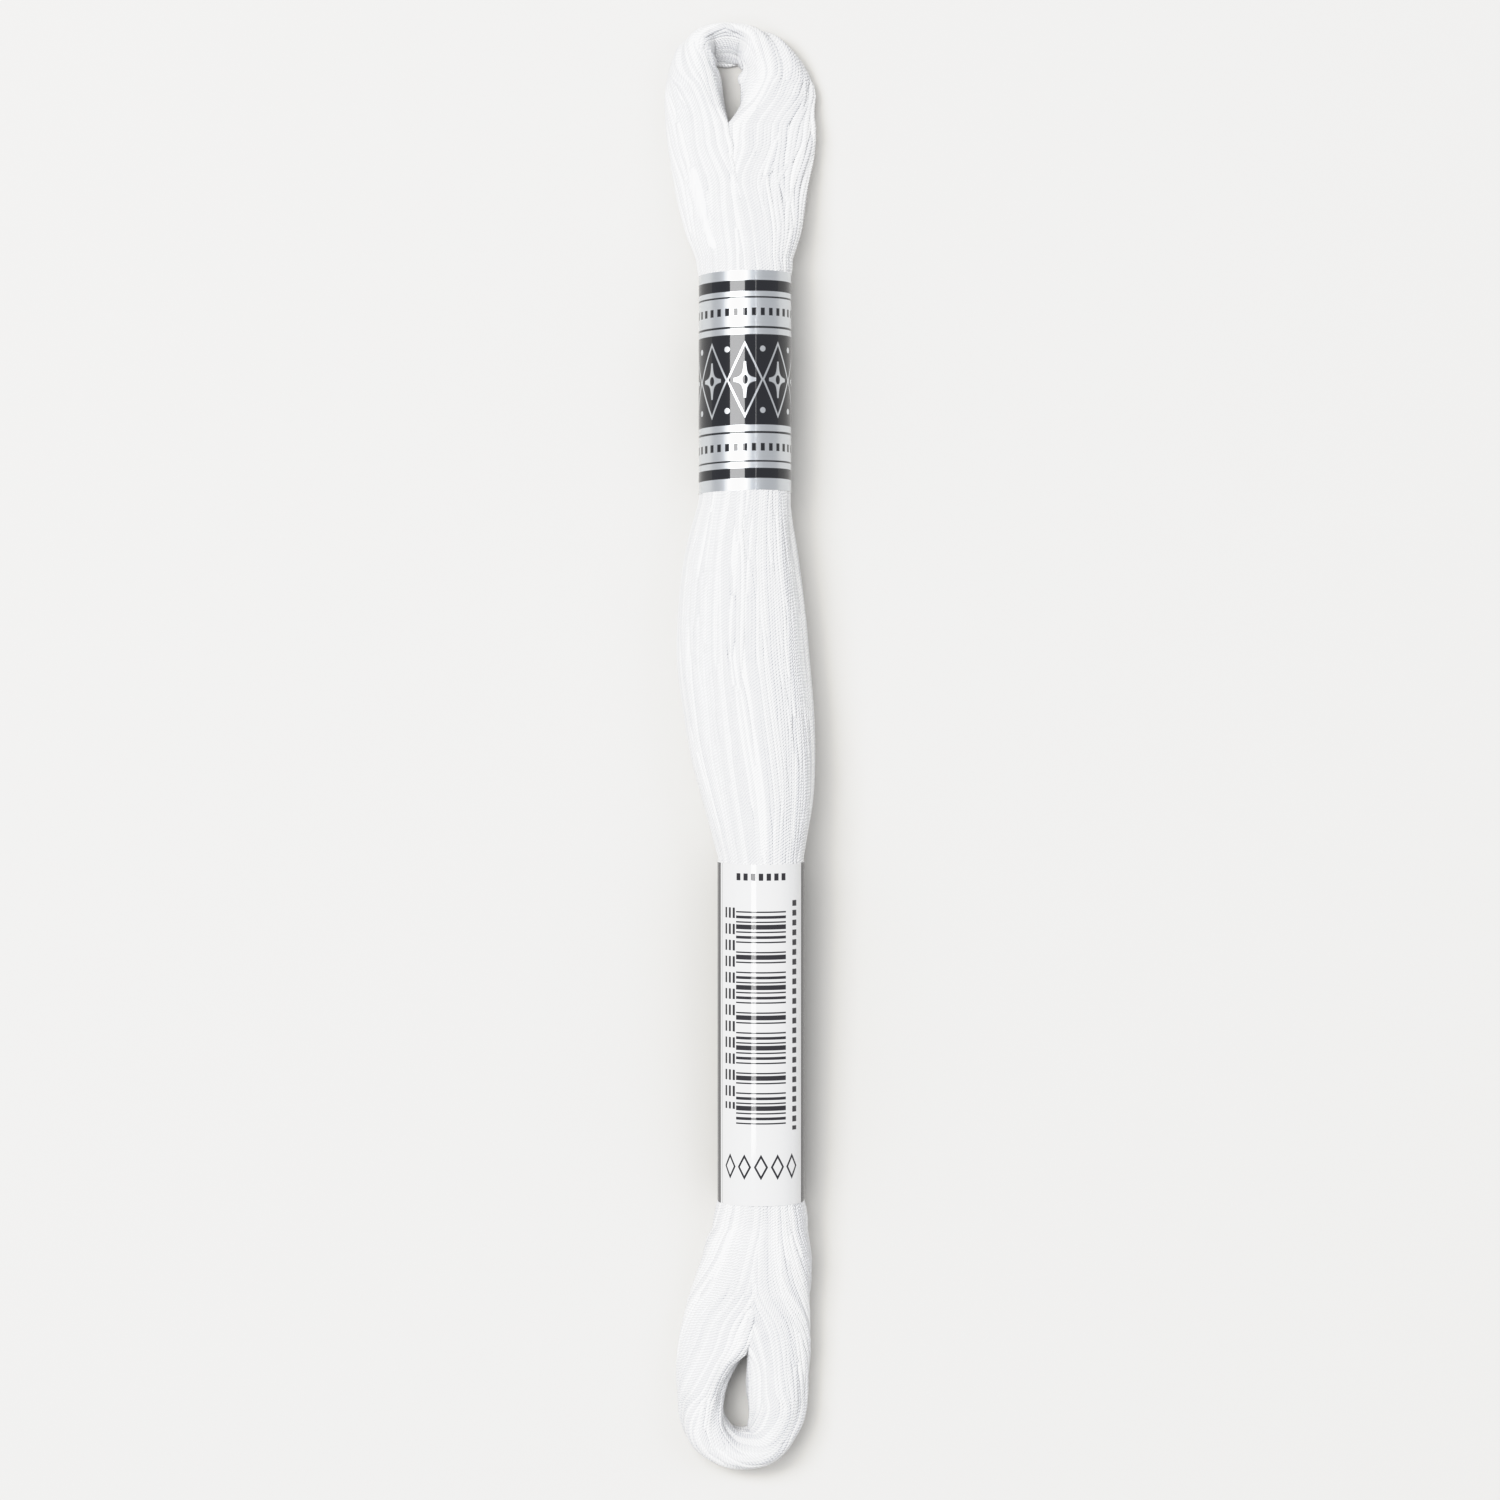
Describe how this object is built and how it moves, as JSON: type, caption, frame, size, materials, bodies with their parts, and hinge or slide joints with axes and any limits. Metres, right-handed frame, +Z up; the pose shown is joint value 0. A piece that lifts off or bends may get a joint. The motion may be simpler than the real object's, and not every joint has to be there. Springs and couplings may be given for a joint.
{
  "type": "hank of embroidery floss",
  "caption": "Hank of white embroidery cotton lying flat, with an eye at each end and a puffed middle, held by a short silvered paper band and a longer white paper band.",
  "frame": {"origin": "middle of the hank's outline, on the surface it lies on", "axes": "+Y along the hank towards its short silvered band, +Z up from the surface it lies on, +X across it"},
  "size_m": [0.0178, 0.1703, 0.0133],
  "materials": {
    "thread": "soft white mercerised cotton, twisted from four plies, with a faint silky sheen",
    "silvered_paper": "silvered glossy paper printed in black",
    "white_paper": "white coated paper with a smooth gloss, printed in black"
  },
  "bodies": {
    "root": {"hank": "thread", "foil_band": "silvered_paper", "paper_band": "white_paper"}
  },
  "joints": []
}
